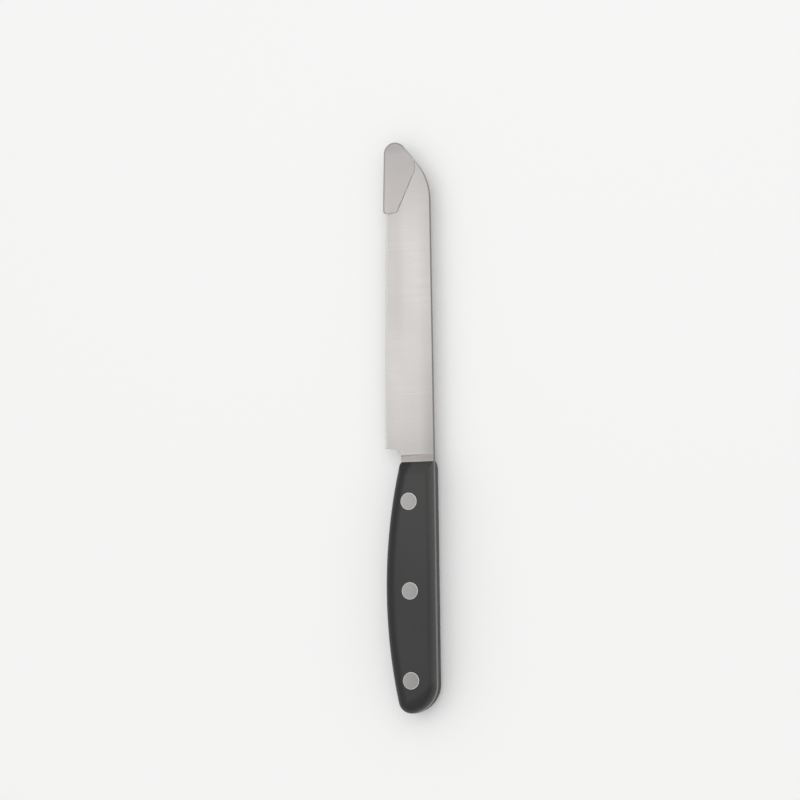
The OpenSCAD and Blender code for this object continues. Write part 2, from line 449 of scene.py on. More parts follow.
def drill(
    name: str, x: float, y: float, r: float, low: float, high: float, flare: float = 0.0,
) -> bpy.types.Object:
    """Makes a round cutter along Z.

    Args:
        name: the object's name.
        x: its middle.
        y: its middle.
        r: its radius.
        low: where it starts, in mm.
        high: where it ends, in mm.
        flare: how much it widens, and over what depth, at its outer end.

    Returns:
        The cutter.
    """
    turns = np.linspace(0, 2 * math.pi, ROUND_STEPS, endpoint=False)
    rings = [(r, low), (r, high)]
    if flare:
        out = math.copysign(1, high - low)
        rings = [(r, low), (r, high - out * flare), (r + flare, high), (r + flare, high + out)]
    return ring_stack(name, [
        [[x + radius * math.cos(t), y + radius * math.sin(t), z] for t in turns]
        for radius, z in rings
    ])


# Outlines, by the rules and sizes of the part's own source; only the guard is
# drawn more closely than there


def arc(centre: Point, radius: float, start: float, end: float, steps: int,
        inset: float = 0.0, spine_inset: float = 0.0) -> list[Point]:
    """Points of an arc, drawn in by one inset above it and another below.

    Args:
        centre: the arc's centre.
        radius: its radius.
        start: first direction in degrees.
        end: last direction in degrees.
        steps: how many steps between them.
        inset: how far it is drawn in along X and towards the edge.
        spine_inset: how far it is drawn in towards the spine.

    Returns:
        The points.
    """
    points = []
    for turn in np.radians(np.linspace(start, end, steps + 1)):
        rise = radius - (spine_inset if math.sin(turn) < 0 else inset)
        points.append((centre[0] + (radius - inset) * math.cos(turn),
                       centre[1] + rise * math.sin(turn)))
    return points


def direction(start: Point, end: Point) -> float:
    """The direction from one point to another in degrees."""
    return math.degrees(math.atan2(end[1] - start[1], end[0] - start[0]))


def side(long: float, short: float) -> float:
    """The other side of a right-angled triangle."""
    return math.sqrt(max(0.0, long * long - short * short))


@dataclass
class HandleForm:
    """The outline of the handle: four arcs in a row, each tangent to the next."""

    length: float = 105.8
    thickness: float = 14.0
    depth: float = 21.3
    belly_place: float = 0.52
    belly_bow: float = 2.098
    corner_r: float = 5.5
    butt_r: float = 30.0
    butt_lean: float = 19.0
    butt_spine_r: float = 12.0
    rivet_front: float = 16.9
    rivet_rear: float = 13.7
    rivet_y: float = 9.3
    rivet_names: tuple[str, ...] = ("front", "middle", "rear")
    arc_steps: tuple[int, int, int, int] = (10, 5, 12, 36)

    @property
    def rivet_xs(self) -> list[float]:
        """The rivets' places, evenly spaced from the front one to the rear one."""
        gaps = len(self.rivet_names) - 1
        pitch = (self.length - self.rivet_front - self.rivet_rear) / gaps
        return [-self.rivet_front - i * pitch for i in range(gaps + 1)]

    @property
    def belly(self) -> Circle:
        """The belly's arc: its centre and radius."""
        radius = self.belly_bow * self.length
        return (-self.belly_place * self.length, self.depth - radius, radius)

    @property
    def corner(self) -> Circle:
        """The arc between belly and butt."""
        x = self.corner_r - self.length
        belly = self.belly
        y = belly[1] + side(belly[2] - self.corner_r, x - belly[0])
        return (x, y, self.corner_r)

    @property
    def butt(self) -> Circle:
        """The butt's arc."""
        lean = math.radians(self.butt_lean)
        gap = self.butt_r - self.corner_r
        corner = self.corner
        return (corner[0] + gap * math.cos(lean), corner[1] + gap * math.sin(lean),
                self.butt_r)

    def outline(self, front: float, inset: float = 0.0, spine_inset: float = 0.0,
                fine: int = 1) -> list[Point]:
        """The handle's outline, which runs on past its front by a length.

        Args:
            front: where it ends in front.
            inset: how far it is drawn in along belly and butt.
            spine_inset: how far it is drawn in along the spine.
            fine: how many times finer than the CAD its steps are.

        Returns:
            The points.
        """
        *belly, belly_r = self.belly
        *corner, _ = self.corner
        *butt, _ = self.butt
        spine = (butt[0] - side(self.butt_r - self.butt_spine_r, butt[1] - self.butt_spine_r),
                 self.butt_spine_r)
        spine_turn = 360 + direction(butt, spine)
        corner_turn = 180 + self.butt_lean
        belly_turn = direction(belly, corner)
        front_turn = math.degrees(math.acos((front - belly[0]) / (belly_r - inset)))
        spine_steps, butt_steps, corner_steps, belly_steps = (n * fine for n in self.arc_steps)
        insets = (inset, spine_inset)
        return (
            [(front, spine_inset)]
            + arc(spine, self.butt_spine_r, 270, spine_turn, spine_steps, *insets)
            + arc(butt, self.butt_r, spine_turn, corner_turn, butt_steps, *insets)[1:]
            + arc(corner, self.corner_r, corner_turn, belly_turn, corner_steps, *insets)[1:]
            + arc(belly, belly_r, belly_turn, front_turn, belly_steps, *insets)[1:]
        )


@dataclass
class BladeForm:
    """The steel piece's outline, faces and bevel."""

    handle: HandleForm
    steel_t: float = 2.0
    spine_t: float = 1.9
    tip_spine_t: float = 1.7
    edge_t: float = 0.42
    length: float = 133.6
    heel_h: float = 22.3
    nose_h: float = 20.2
    spine_drop: float = 0.4
    edge_belly: float = 0.35
    tip_r: float = 24.0
    nose_r: float = 4.0
    neck_l: float = 2.7
    neck_h: float = 14.7
    heel_x: float = 6.2
    heel_r: float = 4.0
    heel_lean: float = 10.0
    plunge_r: float = 2.0
    bevel_w: float = 1.15
    tooth_pitch: float = 1.2
    tooth_h: float = 0.14

    @property
    def nose(self) -> Point:
        """Centre of the nose's arc."""
        return (self.length - self.nose_r, self.nose_h - self.nose_r)

    @property
    def tip(self) -> Point:
        """Centre of the tip curve."""
        y = self.spine_drop + self.tip_r
        return (self.nose[0] - side(self.tip_r - self.nose_r, y - self.nose[1]), y)

    @property
    def tooth_count(self) -> int:
        """How many whole teeth the ground edge has room for."""
        return int((self.nose[0] - self.heel_x) // self.tooth_pitch)

    def edge_y(self, x: float) -> float:
        """Height of the cutting edge over the spine."""
        u = (x - self.heel_x) / (self.nose[0] - self.heel_x)
        rise = 4 * self.edge_belly * u * (1 - u)
        return self.heel_h + (self.nose_h - self.heel_h) * u + rise

    def face_at(self, x: float, y: float) -> float:
        """Half the thickness of the ground blade."""
        dx = (self.tip_spine_t - self.spine_t) / 2 / self.tip[0]
        dy = (self.edge_t / 2 - self.spine_t / 2 - dx * self.heel_x) / self.heel_h
        return self.spine_t / 2 + dx * x + dy * y

    def half_at(self, x: float, y: float) -> float:
        """Half the steel's thickness anywhere, with the wheel's hollow."""
        full = self.steel_t / 2
        start = self.neck_l + self.plunge_r / 2
        ground = self.face_at(max(x, start), y)
        if x >= start:
            return min(full, ground)
        run = start - x
        if run >= self.plunge_r:
            return full
        return min(full, ground + self.plunge_r - side(self.plunge_r, run))


@dataclass
class GuardForm:
    """The tip guard's outline and pocket, round the blade."""

    blade: BladeForm
    length: float = 30.4
    ahead: float = 2.85
    wall: float = 0.28
    fit: float = 0.1
    rim: float = 0.6
    nose_r: float = 4.85
    rear_r: float = 1.5
    corner_r: float = 1.3
    shoulder: Circle = (8.95, 10.2, 3.0)
    mouth: Point = (12.05, 8.2)
    rear: Point = (28.7, 16.3)
    round: float = 0.2
    border: float = 0.5
    past: float = 10.0

    @property
    def front(self) -> float:
        """The guard's front end."""
        return self.blade.length + self.ahead

    @property
    def back(self) -> float:
        """The guard's rear end."""
        return self.front - self.length

    @property
    def room(self) -> float:
        """Half the pocket's depth."""
        return self.blade.face_at(self.back, self.mouth[1]) + self.fit

    def circles(self) -> list[Circle]:
        """The five circles that the outline runs round."""
        rear_y = self.blade.edge_y(self.back) + self.rim
        nose_y = self.blade.nose_h + self.rim
        return [
            (self.back + self.rear_r, rear_y - self.rear_r, self.rear_r),
            (self.front - self.nose_r, nose_y - self.nose_r, self.nose_r),
            (self.front - self.shoulder[0], *self.shoulder[1:]),
            (self.front - self.mouth[0], self.mouth[1], self.corner_r),
            (self.front - self.rear[0], self.rear[1], self.corner_r),
        ]

    def pocket(self) -> list[Circle]:
        """The four circles of the pocket, which is open along the mouth and behind."""
        r, back = self.corner_r / 2, self.back - self.past
        x, y, nose_r = self.circles()[1]
        return [
            (back, self.blade.edge_y(back) + self.fit - r, r),
            (x, y - self.fit, nose_r - self.wall - self.fit / 3),
            (self.blade.tip[0] + r, -self.past, r),
            (back, -self.past, r),
        ]


def belt(circles: Sequence[Circle], inset: float = 0.0, step: float = 3.0) -> list[Point]:
    """Outline of a belt that runs clockwise round circles.

    Args:
        circles: x, y and radius of each.
        inset: how far it is drawn in.
        step: the greatest turn between two points in degrees.

    Returns:
        The points.
    """
    def turn(a: Circle, b: Circle) -> float:
        """The direction in which the belt faces outwards between two circles."""
        gap = math.hypot(b[0] - a[0], b[1] - a[1])
        return direction(a[:2], b[:2]) + math.degrees(math.acos((a[2] - b[2]) / gap))

    points: list[Point] = []
    for i, (x, y, r) in enumerate(circles):
        start = turn(circles[i - 1], circles[i])
        end = turn(circles[i], circles[(i + 1) % len(circles)])
        while end > start:
            end -= 360
        points += arc((x, y), r, start, end, math.ceil((start - end) / step), inset, inset)
    return points


# Finishes


@dataclass(frozen=True)
class Grain:
    """Noise on Object coordinates: how many grains to a millimetre, how detailed."""

    per_mm: tuple[float, float, float]
    detail: float


class Paint(Board):
    """A material's board, with the patterns that the finishes share."""

    def noise(self, grain: Grain) -> Wire:
        """A grain's noise, from 0 to 1."""
        place = self.add("ShaderNodeTexCoord", output="Object")
        scaled = self.add(
            "ShaderNodeVectorMath", {"operation": "MULTIPLY"},
            {0: place, 1: tuple(count / MM for count in grain.per_mm)},
        )
        return self.add(
            "ShaderNodeTexNoise", {"noise_dimensions": "3D"},
            {"Vector": scaled, "Scale": 1.0, "Detail": grain.detail, "Roughness": 0.6},
        )

    def marked(self, name: str) -> Wire:
        """A number that is kept on the piece's points or faces."""
        return self.add("ShaderNodeAttribute", {"attribute_name": name}, output="Fac")

    def drawn(self) -> tuple[Wire, Wire]:
        """Millimetres from the drawing frame's zero point, along X and along Y."""
        x, y, _ = self.parts(self.add("ShaderNodeTexCoord", output="Object"))
        return (x - DATUM.x) / MM, (y - DATUM.y) / MM

    def band(self, value: Wire, span: Span) -> Wire:
        """A smooth step from 0 where a span starts to 1 where it ends."""
        return self.add(
            "ShaderNodeMapRange", {"interpolation_type": "SMOOTHSTEP"},
            {"Value": value, "From Min": span[0], "From Max": span[1]},
        )

    def blend(self, factor: Number, a: object, b: object) -> Wire:
        """Mixes two colours."""
        return self.add("ShaderNodeMix", {"data_type": "RGBA"}, {0: factor, 1: a, 2: b})

    def bump(self, height: Wire, depth_mm: float, strength: float) -> Wire:
        """A Bump node."""
        return self.add(
            "ShaderNodeBump", None,
            {"Height": height, "Distance": depth_mm * MM, "Strength": strength},
        )

    def principled(self, **values: object) -> Wire:
        """The main shader; its sockets' names have _ for a space."""
        return self.add(
            "ShaderNodeBsdfPrincipled", None,
            {name.replace("_", " "): value for name, value in values.items()},
        )

    @staticmethod
    def uneven(mean: float, *swings: tuple[Wire, float]) -> Number:
        """A number that noises move to both sides of its mean.

        Args:
            mean: the number.
            swings: each noise and how far it moves the number in all.

        Returns:
            The result.
        """
        value: Number = mean
        for noise, swing in swings:
            value = value + (noise - 0.5) * swing
        return value


@dataclass(frozen=True)
class Finish:
    """A finish: a name, and a way to fill a material with nodes."""

    name: str

    def material(self) -> bpy.types.Material:
        """Makes the material."""
        made = bpy.data.materials.new(self.name)
        made.use_nodes = True
        paint = Paint(made.node_tree)
        paint.end("ShaderNodeOutputMaterial", self.surface(paint))
        return made

    def surface(self, paint: Paint) -> Wire:
        """Builds the surface shader."""
        raise NotImplementedError


class Zone(Enum):
    """The parts of the steel that get a colour of their own: the neck its own finish, the rim a
    painted shade, the bevel its honed finish under a painted highlight.
    """

    GROUND = 0.0
    NECK = 1.0
    RIM = 2.0
    BEVEL = 3.0


@dataclass(frozen=True)
class GroundSteel(Finish):
    """Blade steel with a fine satin grind from spine to edge.

    A span whose name ends in x or y is in millimetres along that axis: a shade
    comes or goes between its two ends.
    """

    face: Colour = (0.560, 0.541, 0.530, 1)
    neck: Colour = (0.385, 0.359, 0.346, 1)
    # foot: a lighter colour at the neck's foot by the handle, a painted highlight.
    foot: Colour = (0.430, 0.408, 0.396, 1)
    # line: the dark line where the wheel's hollow meets the neck, painted shade.
    line: Colour = (0.300, 0.285, 0.275, 1)
    # rim: the spine's side, the ends and the blunt edges, painted shade that stands for dark
    # reflections.
    rim: Colour = (0.21, 0.208, 0.20, 1)
    # bevel: the honed bevel's finish, made brighter by a painted highlight.
    bevel: Colour = (0.90, 0.89, 0.875, 1)
    # The dark colour that painted shade on face and neck blends towards.
    shade_colour: Colour = (0.01, 0.01, 0.01, 1)
    worn: Colour = (0.42, 0.41, 0.40, 1)
    fine: Grain = Grain((9.0, 0.06, 0.5), 2.0)
    broad: Grain = Grain((2.2, 0.015, 0.2), 1.0)
    cloud: Grain = Grain((0.035, 0.06, 0.05), 1.0)
    fine_share: float = 0.75
    # Spans of the painted shade on the ground face.
    spine_y: Span = (0.3, 7.5)
    tip_x: Span = (98.0, 128.0)
    heel_x: Span = (3.0, 18.0)
    edge_x: Span = (40.0, 70.0)
    edge_y: Span = (11.0, 16.0)
    rear_x: Span = (10.0, 60.0)
    rear_y: Span = (8.0, 15.0)
    # Weights of the painted shade towards spine, tip, heel, edge and rear.
    spine_shade: float = 0.13
    spine_rear_shade: float = 0.09
    spine_tip_relief: float = 0.8
    tip_shade: float = 0.17
    heel_shade: float = 0.08
    edge_shade: float = 0.10
    rear_shade: float = 0.03
    # Where the painted highlight at the neck's foot fades out.
    foot_x: Span = (0.2, 0.9)
    # Span and weight of the painted shade on the neck's spine side.
    neck_y: Span = (1.0, 10.0)
    neck_shade: float = 0.14
    # The part of the hollow that gets the painted shade.
    hollow_shade: Span = (0.7, 1.0)
    worn_grain: float = 0.7
    worn_from: Span = (0.2, 0.8)
    worn_most: float = 0.12
    rough: float = 0.30
    rough_grain: float = 0.22
    rough_cloud: float = 0.10
    relief: tuple[float, float] = (0.004, 0.5)

    def painted_shade_share(self, paint: Paint) -> Wire:
        """How much painted shade darkens the face towards spine, tip, heel, edge and rear."""
        x, y = paint.drawn()
        spine = 1 - paint.band(y, self.spine_y)
        tip = paint.band(x, self.tip_x)
        heel = 1 - paint.band(x, self.heel_x)
        edge = paint.band(y, self.edge_y) * paint.band(x, self.edge_x)
        rear = 1 - paint.band(x, self.rear_x)
        along_spine = self.spine_shade + rear * self.spine_rear_shade
        return (
            spine * (1 - tip * self.spine_tip_relief) * along_spine
            + tip * self.tip_shade
            + heel * self.heel_shade
            + edge * (1 - tip) * self.edge_shade
            + rear * (1 - paint.band(y, self.rear_y)) * self.rear_shade
        )

    def surface(self, paint: Paint) -> Wire:
        """Grind lines across the blade, a darker neck, painted shade on the face, in the hollow
        and on the rim, and painted highlights on the neck's foot and the bevel.
        """
        fine, broad, cloud = (paint.noise(g) for g in (self.fine, self.broad, self.cloud))
        grain = fine * self.fine_share + broad * (1 - self.fine_share)
        zone, hollow = paint.marked("zone"), paint.marked("hollow")
        x, y = paint.drawn()

        def coat(shade: Wire, first: Zone, colour: object) -> Wire:
            """Lays a colour on one zone's faces, and on those of the zones after it."""
            return paint.blend(paint.band(zone, (first.value - 0.5, first.value)), shade, colour)

        # A painted highlight at the neck's foot.
        neck = paint.blend(1 - paint.band(x, self.foot_x), self.neck, self.foot)
        # Painted shade on the neck towards the spine.
        neck = paint.blend((1 - paint.band(y, self.neck_y)) * self.neck_shade, neck, self.shade_colour)
        # Painted shade on the ground face towards spine, tip, heel, edge and rear.
        shade = paint.blend(self.painted_shade_share(paint), self.face, self.shade_colour)
        shade = coat(shade, Zone.NECK, neck)
        # Painted shade: a dark line where the hollow meets the neck.
        shade = paint.blend(paint.band(hollow, self.hollow_shade), shade, self.line)
        # Painted shade on the rim.
        shade = coat(shade, Zone.RIM, self.rim)
        # The honed bevel, with a painted highlight.
        shade = coat(shade, Zone.BEVEL, self.bevel)
        worn = paint.add(
            "ShaderNodeMapRange", None,
            {"Value": grain * self.worn_grain + cloud * (1 - self.worn_grain),
             "From Min": self.worn_from[0], "From Max": self.worn_from[1],
             "To Min": 0.0, "To Max": self.worn_most},
        )
        return paint.principled(
            Base_Color=paint.blend(worn, shade, self.worn),
            Metallic=1.0,
            Roughness=paint.uneven(
                self.rough, (grain, self.rough_grain), (cloud, self.rough_cloud)
            ),
            Normal=paint.bump(grain, *self.relief),
        )


@dataclass(frozen=True)
class MouldedPlastic(Finish):
    """Dark moulded scale plastic, fine-grained with an uneven sheen, painted light towards the
    front and painted shade along belly and butt.
    """

    form: HandleForm = field(default_factory=HandleForm)
    body: Colour = (0.036, 0.036, 0.036, 1)
    worn: Colour = (0.041, 0.041, 0.041, 1)
    # front: lighter towards the front of the handle, painted light.
    front: Colour = (0.052, 0.052, 0.051, 1)
    # The colour of the painted shade along the rounded belly and butt.
    outer_shade: Colour = (0.020, 0.020, 0.020, 1)
    grain: Grain = Grain((3.0, 3.0, 3.0), 4.0)
    rub: Grain = Grain((0.12, 0.5, 0.3), 3.0)
    cloud: Grain = Grain((0.03, 0.06, 0.06), 2.0)
    worn_from: Span = (0.35, 0.7)
    # Where the painted light towards the front comes in.
    front_x: Span = (-75.0, -5.0)
    # How far in from belly and butt the painted shade reaches.
    outer_shade_in: Span = (3.9, 6.3)
    rough: float = 0.44
    rough_rub: float = 0.10
    rough_grain: float = 0.12
    relief: tuple[float, float] = (0.012, 0.35)

    def surface(self, paint: Paint) -> Wire:
        """A fine moulded grain under a soft sheen, painted light towards the front and painted
        shade along belly and butt.
        """
        grain, rub, cloud = (paint.noise(g) for g in (self.grain, self.rub, self.cloud))
        x, y = paint.drawn()

        def inside(circle: Circle, reach: float) -> Wire:
            """Millimetres inside an arc, which counts up to a reach past its centre."""
            dx, dy = (x - circle[0]).math("MINIMUM", reach), y - circle[1]
            return circle[2] - (dx * dx + dy * dy).math("SQRT")

        shade = paint.blend(paint.band(cloud, self.worn_from), self.body, self.worn)
        # Painted light: lighter towards the front.
        shade = paint.blend(paint.band(x, self.front_x), shade, self.front)
        # Painted shade along belly and butt.
        depth = inside(self.form.belly, self.form.length).math(
            "MINIMUM", inside(self.form.butt, 0.0)
        )
        shade = paint.blend(1 - paint.band(depth, self.outer_shade_in), shade, self.outer_shade)
        return paint.principled(
            Base_Color=shade,
            Roughness=paint.uneven(
                self.rough, (rub, self.rough_rub), (grain, self.rough_grain)
            ),
            Specular_IOR_Level=0.32,
            Normal=paint.bump(grain, *self.relief),
        )


@dataclass(frozen=True)
class SandedRivet(Finish):
    """Rivet steel, sanded along the handle together with the scales."""

    form: HandleForm = field(default_factory=HandleForm)
    face: Colour = (0.405, 0.40, 0.39, 1)
    # dark: what the sanding lines' own tone and the painted shade towards butt and spine lead
    # to.
    dark: Colour = (0.29, 0.286, 0.28, 1)
    # rim: a painted highlight on the head's chamfer.
    rim: Colour = (0.80, 0.79, 0.78, 1)
    lines: Grain = Grain((0.3, 8.0, 2.0), 3.0)
    cloud: Grain = Grain((0.2, 0.2, 0.2), 1.0)
    dark_lines: float = 0.5
    dark_cloud: float = 0.3
    # How much painted shade darkens the rivets per millimetre towards the butt and the spine.
    shade_per_mm: tuple[float, float] = (0.0055, 0.07)
    rough: float = 0.30
    rough_lines: float = 0.25
    relief: tuple[float, float] = (0.004, 0.5)

    def surface(self, paint: Paint) -> Wire:
        """Fine sanding lines along X, painted shade towards butt and spine, a painted highlight
        on the rim.
        """
        lines, cloud = paint.noise(self.lines), paint.noise(self.cloud)
        x, y = paint.drawn()
        middle = self.form.rivet_xs[len(self.form.rivet_names) // 2]
        # Painted shade towards the butt and the spine, added to the sanding lines' own tone.
        rear = (middle - x) * self.shade_per_mm[0]
        spine = (self.form.rivet_y - y) * self.shade_per_mm[1]
        dark = lines * self.dark_lines + cloud * self.dark_cloud + spine + rear
        shade = paint.blend(dark, self.face, self.dark)
        return paint.principled(
            # Painted highlight on the rim.
            Base_Color=paint.blend(paint.marked("rim"), shade, self.rim),
            Metallic=1.0,
            Roughness=paint.uneven(self.rough, (lines, self.rough_lines)),
            Normal=paint.bump(lines, *self.relief),
        )


@dataclass(frozen=True)
class FrostedSleeve(Finish):
    """Thin translucent plastic of the guard, a little milky and pinkish."""

    tint: Colour = (1.0, 0.968, 0.955, 1)
    haze: Colour = (1.0, 0.95, 0.94, 1)
    # front and end: darker towards the front end, painted shade.
    front: Colour = (0.92, 0.89, 0.88, 1)
    end: Colour = (0.80, 0.775, 0.765, 1)
    # border: darker round the outside walls, painted shade.
    border: Colour = (0.42, 0.405, 0.40, 1)
    grain: Grain = Grain((4.0, 4.0, 4.0), 2.0)
    cloud: Grain = Grain((0.15, 0.15, 0.15), 2.0)
    front_x: Span = (108.0, 134.0)
    end_x: Span = (131.0, 134.2)
    rough: float = 0.36
    rough_grain: float = 0.10
    relief: tuple[float, float] = (0.004, 0.25)

    def surface(self, paint: Paint) -> Wire:
        """A soft, slightly uneven translucent plastic, darker at its front end by painted shade.
        """
        cloud, grain = paint.noise(self.cloud), paint.noise(self.grain)
        x, _ = paint.drawn()
        shade = paint.blend(cloud, self.tint, self.haze)
        # Painted shade towards the front end.
        shade = paint.blend(paint.band(x, self.front_x), shade, self.front)
        shade = paint.blend(paint.band(x, self.end_x), shade, self.end)
        return paint.principled(
            # Painted shade round the outside walls.
            Base_Color=paint.blend(paint.marked("border"), shade, self.border),
            Roughness=paint.uneven(self.rough, (grain, self.rough_grain)),
            IOR=1.45,
            Transmission_Weight=0.6,
            Normal=paint.bump(grain, *self.relief),
        )


@dataclass(frozen=True)
class PaleFloor(Finish):
    """The plain pale floor, a little brighter where it is looked at."""

    shade: Colour = (0.93, 0.93, 0.92535, 1)
    lift: float = 0.08
    rays: tuple[str, ...] = ("Is Camera Ray", "Is Glossy Ray", "Is Transmission Ray")

    def surface(self, paint: Paint) -> Wire:
        """A plain matt white."""
        sheet = paint.principled(Base_Color=self.shade, Roughness=0.9, Specular_IOR_Level=0.2)
        seen = [paint.add("ShaderNodeLightPath", output=ray) for ray in self.rays]
        looked_at = (seen[0] + seen[1] + seen[2]).math("MINIMUM", 1.0)
        glow = paint.add(
            "ShaderNodeEmission", None,
            {"Color": (1, 1, 1, 1), "Strength": looked_at * self.lift},
        )
        return paint.add("ShaderNodeAddShader", None, {0: sheet, 1: glow})


class Slot(Enum):
    """The record's material slots."""

    BLADE = "blade_steel"
    SCALE = "scale_plastic"
    RIVET = "rivet_steel"
    GUARD = "guard_plastic"


class Body(Enum):
    """The bodies that pieces ride on."""

    KNIFE = "knife"
    GUARD = "guard"


def hand_over(piece: bpy.types.Object, body: Body, slot: Slot, *nodes: str) -> None:
    """Puts a finished piece on its body and hides the CAD nodes that it stands for.

    Args:
        piece: the finished piece.
        body: the body that it rides on.
        slot: the record's material slot; not used.
        nodes: the CAD nodes that it replaces.
    """
    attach(piece, body.value)
    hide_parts(*nodes)
    LOG.info("%s: %d faces on %s", piece.name, len(piece.data.polygons), body.value)


# Sub-assemblies


@dataclass
class Steel:
    """The one steel piece: ground blade, neck and full tang.

    It is drawn as sections across X. The columns of faces between them are the
    spine's side, the left face in rows, the bevel, the land behind the edge, and
    the right face in rows.
    """

    form: BladeForm
    hole_d: float = 5.0
    chamfer: float = 0.14
    least_chamfers: int = 5
    cut_left: float = 0.03
    bevel_end: float = 1.0
    full_gap: float = 0.004
    sharp_turn: float = 12.0
    rows: int = 14
    steps_per_tooth: int = 8
    end_gap: float = 0.002
    butt_l: float = 12.0
    butt_turns: tuple[float, float, int] = (8, 90, 16)
    tang_gap: float = 2.0
    tang_steps: int = 60
    neck_gap: float = 0.3
    neck_steps: int = 42
    nose_turns: tuple[float, float, int] = (4, 90, 22)
    outline_fine: int = 20

    @property
    def bevel_column(self) -> int:
        """The column of faces that is the bevel's floor; the land is the next one."""
        return self.rows + 1

    def stations(self) -> list[float]:
        """Places along X where a section is drawn, from butt to nose."""
        form = self.form
        butt, heel, nose = -form.handle.length, form.heel_x, form.nose[0]
        tooth_steps = form.tooth_count * self.steps_per_tooth
        xs = [butt + self.end_gap]
        turns = np.radians(np.linspace(*self.butt_turns))
        xs += [butt + self.butt_l * (1 - math.cos(turn)) for turn in turns]
        xs += list(np.linspace(butt + self.butt_l + self.tang_gap, 0, self.tang_steps))
        xs += list(np.linspace(self.neck_gap, heel, self.neck_steps, endpoint=False))
        xs += list(np.linspace(heel, nose, tooth_steps + 1))
        turns = np.radians(np.linspace(*self.nose_turns))
        xs += [nose + form.nose_r * math.sin(turn) for turn in turns[:-1]]
        return xs + [form.length - self.end_gap]

    def limits(self) -> tuple[Callable[[float], float], Callable[[float], float]]:
        """The outline's two sides.

        Returns:
            The spine's and the edge's height, each as a function of x.
        """
        form = self.form
        points = form.handle.outline(0, fine=self.outline_fine)
        back = min(range(len(points)), key=lambda i: points[i][0])
        spine_side = sorted(points[: back + 1])
        edge_side = sorted(points[back:])
        tip, nose = form.tip, form.nose
        join = tip[0] + form.tip_r * math.cos(math.radians(direction(tip, nose)))
        lean = math.radians(form.heel_lean)
        drop = form.heel_h - form.neck_h - form.heel_r + form.heel_r * math.sin(lean)
        heel_c = (form.heel_x - form.heel_r * math.cos(lean) - drop * math.tan(lean),
                  form.neck_h + form.heel_r)
        foot = heel_c[0] + form.heel_r * math.cos(lean)

        def top(x: float) -> float:
            """The spine, the tip curve and the nose."""
            if x < 0:
                return float(np.interp(x, *zip(*spine_side)))
            if x < tip[0]:
                return form.spine_drop * x / tip[0]
            if x < join:
                return tip[1] - side(form.tip_r, x - tip[0])
            return nose[1] - side(form.nose_r, x - nose[0])

        def bottom(x: float) -> float:
            """The belly, the neck, the heel, the edge and the nose."""
            if x < 0:
                return float(np.interp(x, *zip(*edge_side)))
            if x < heel_c[0]:
                return float(np.interp(x, (0, heel_c[0]), (edge_side[-1][1], form.neck_h)))
            if x < foot:
                return heel_c[1] - side(form.heel_r, x - heel_c[0])
            if x < form.heel_x:
                return form.heel_h - (form.heel_x - x) / math.tan(lean)
            if x < nose[0]:
                return form.edge_y(x)
            return nose[1] + side(form.nose_r, x - nose[0])

        return top, bottom

    def section(self, x: float, top: float, bottom: float) -> list[tuple[float, float, float]]:
        """One section of the steel.

        Args:
            x: its place.
            top: the outline's spine side there.
            bottom: the outline's edge side there.

        Returns:
            Its points: the spine's side, the left face, the bevel, the land
            behind the edge and the right face.
        """
        form = self.form
        c = min(self.chamfer, (bottom - top) / self.least_chamfers)
        end = min(max(x, form.heel_x), form.nose[0])
        line = form.edge_y(end) + max(0.0, x - form.nose[0])
        start = line - form.bevel_w
        at_start = form.half_at(x, start)
        slope = (at_start + form.half_at(x, line)) / form.bevel_w

        def bevel_z(y: float) -> float:
            """Height of the bevel's floor."""
            return at_start - (y - start) * slope

        break_y = min(start, bottom - c)
        low = form.half_at(x, bottom)
        apex = min(low - c, max(self.cut_left - low, bevel_z(bottom)))
        right_c = min(c, (apex + low) / 2)
        ys = np.linspace(top + c, break_y, self.rows)
        points = [(x, top, c - form.half_at(x, top)), (x, top, form.half_at(x, top) - c)]
        points += [(x, y, form.half_at(x, y)) for y in ys]
        points += [(x, bottom, apex), (x, bottom, right_c - low)]
        ys = np.linspace(bottom - right_c, top + c, self.rows)
        return points + [(x, y, -form.half_at(x, y)) for y in ys]

    def zone(self, column: int, x: float, y: float) -> Zone:
        """Which colour zone one face is in; the rim's zone gets painted shade.

        Args:
            column: which face round the section it is.
            x: its middle.
            y: its middle.

        Returns:
            Its zone.
        """
        if column == 0:
            return Zone.RIM
        if column in (self.bevel_column, self.bevel_column + 1):
            sharp = self.form.heel_x < x < self.form.length - self.bevel_end
            return Zone.BEVEL if sharp else Zone.RIM
        full = self.form.half_at(x, y) > self.form.steel_t / 2 - self.full_gap
        return Zone.NECK if full else Zone.GROUND

    def hollow(self, x: float, y: float) -> float:
        """How far up the wheel's hollow a point is, 0 on the face and on the neck."""
        form = self.form
        start = form.neck_l + form.plunge_r / 2
        depth = form.steel_t / 2 - form.face_at(start, y)
        reach = side(form.plunge_r, form.plunge_r - depth)
        return (start - x) / reach if start - reach < x < start else 0.0

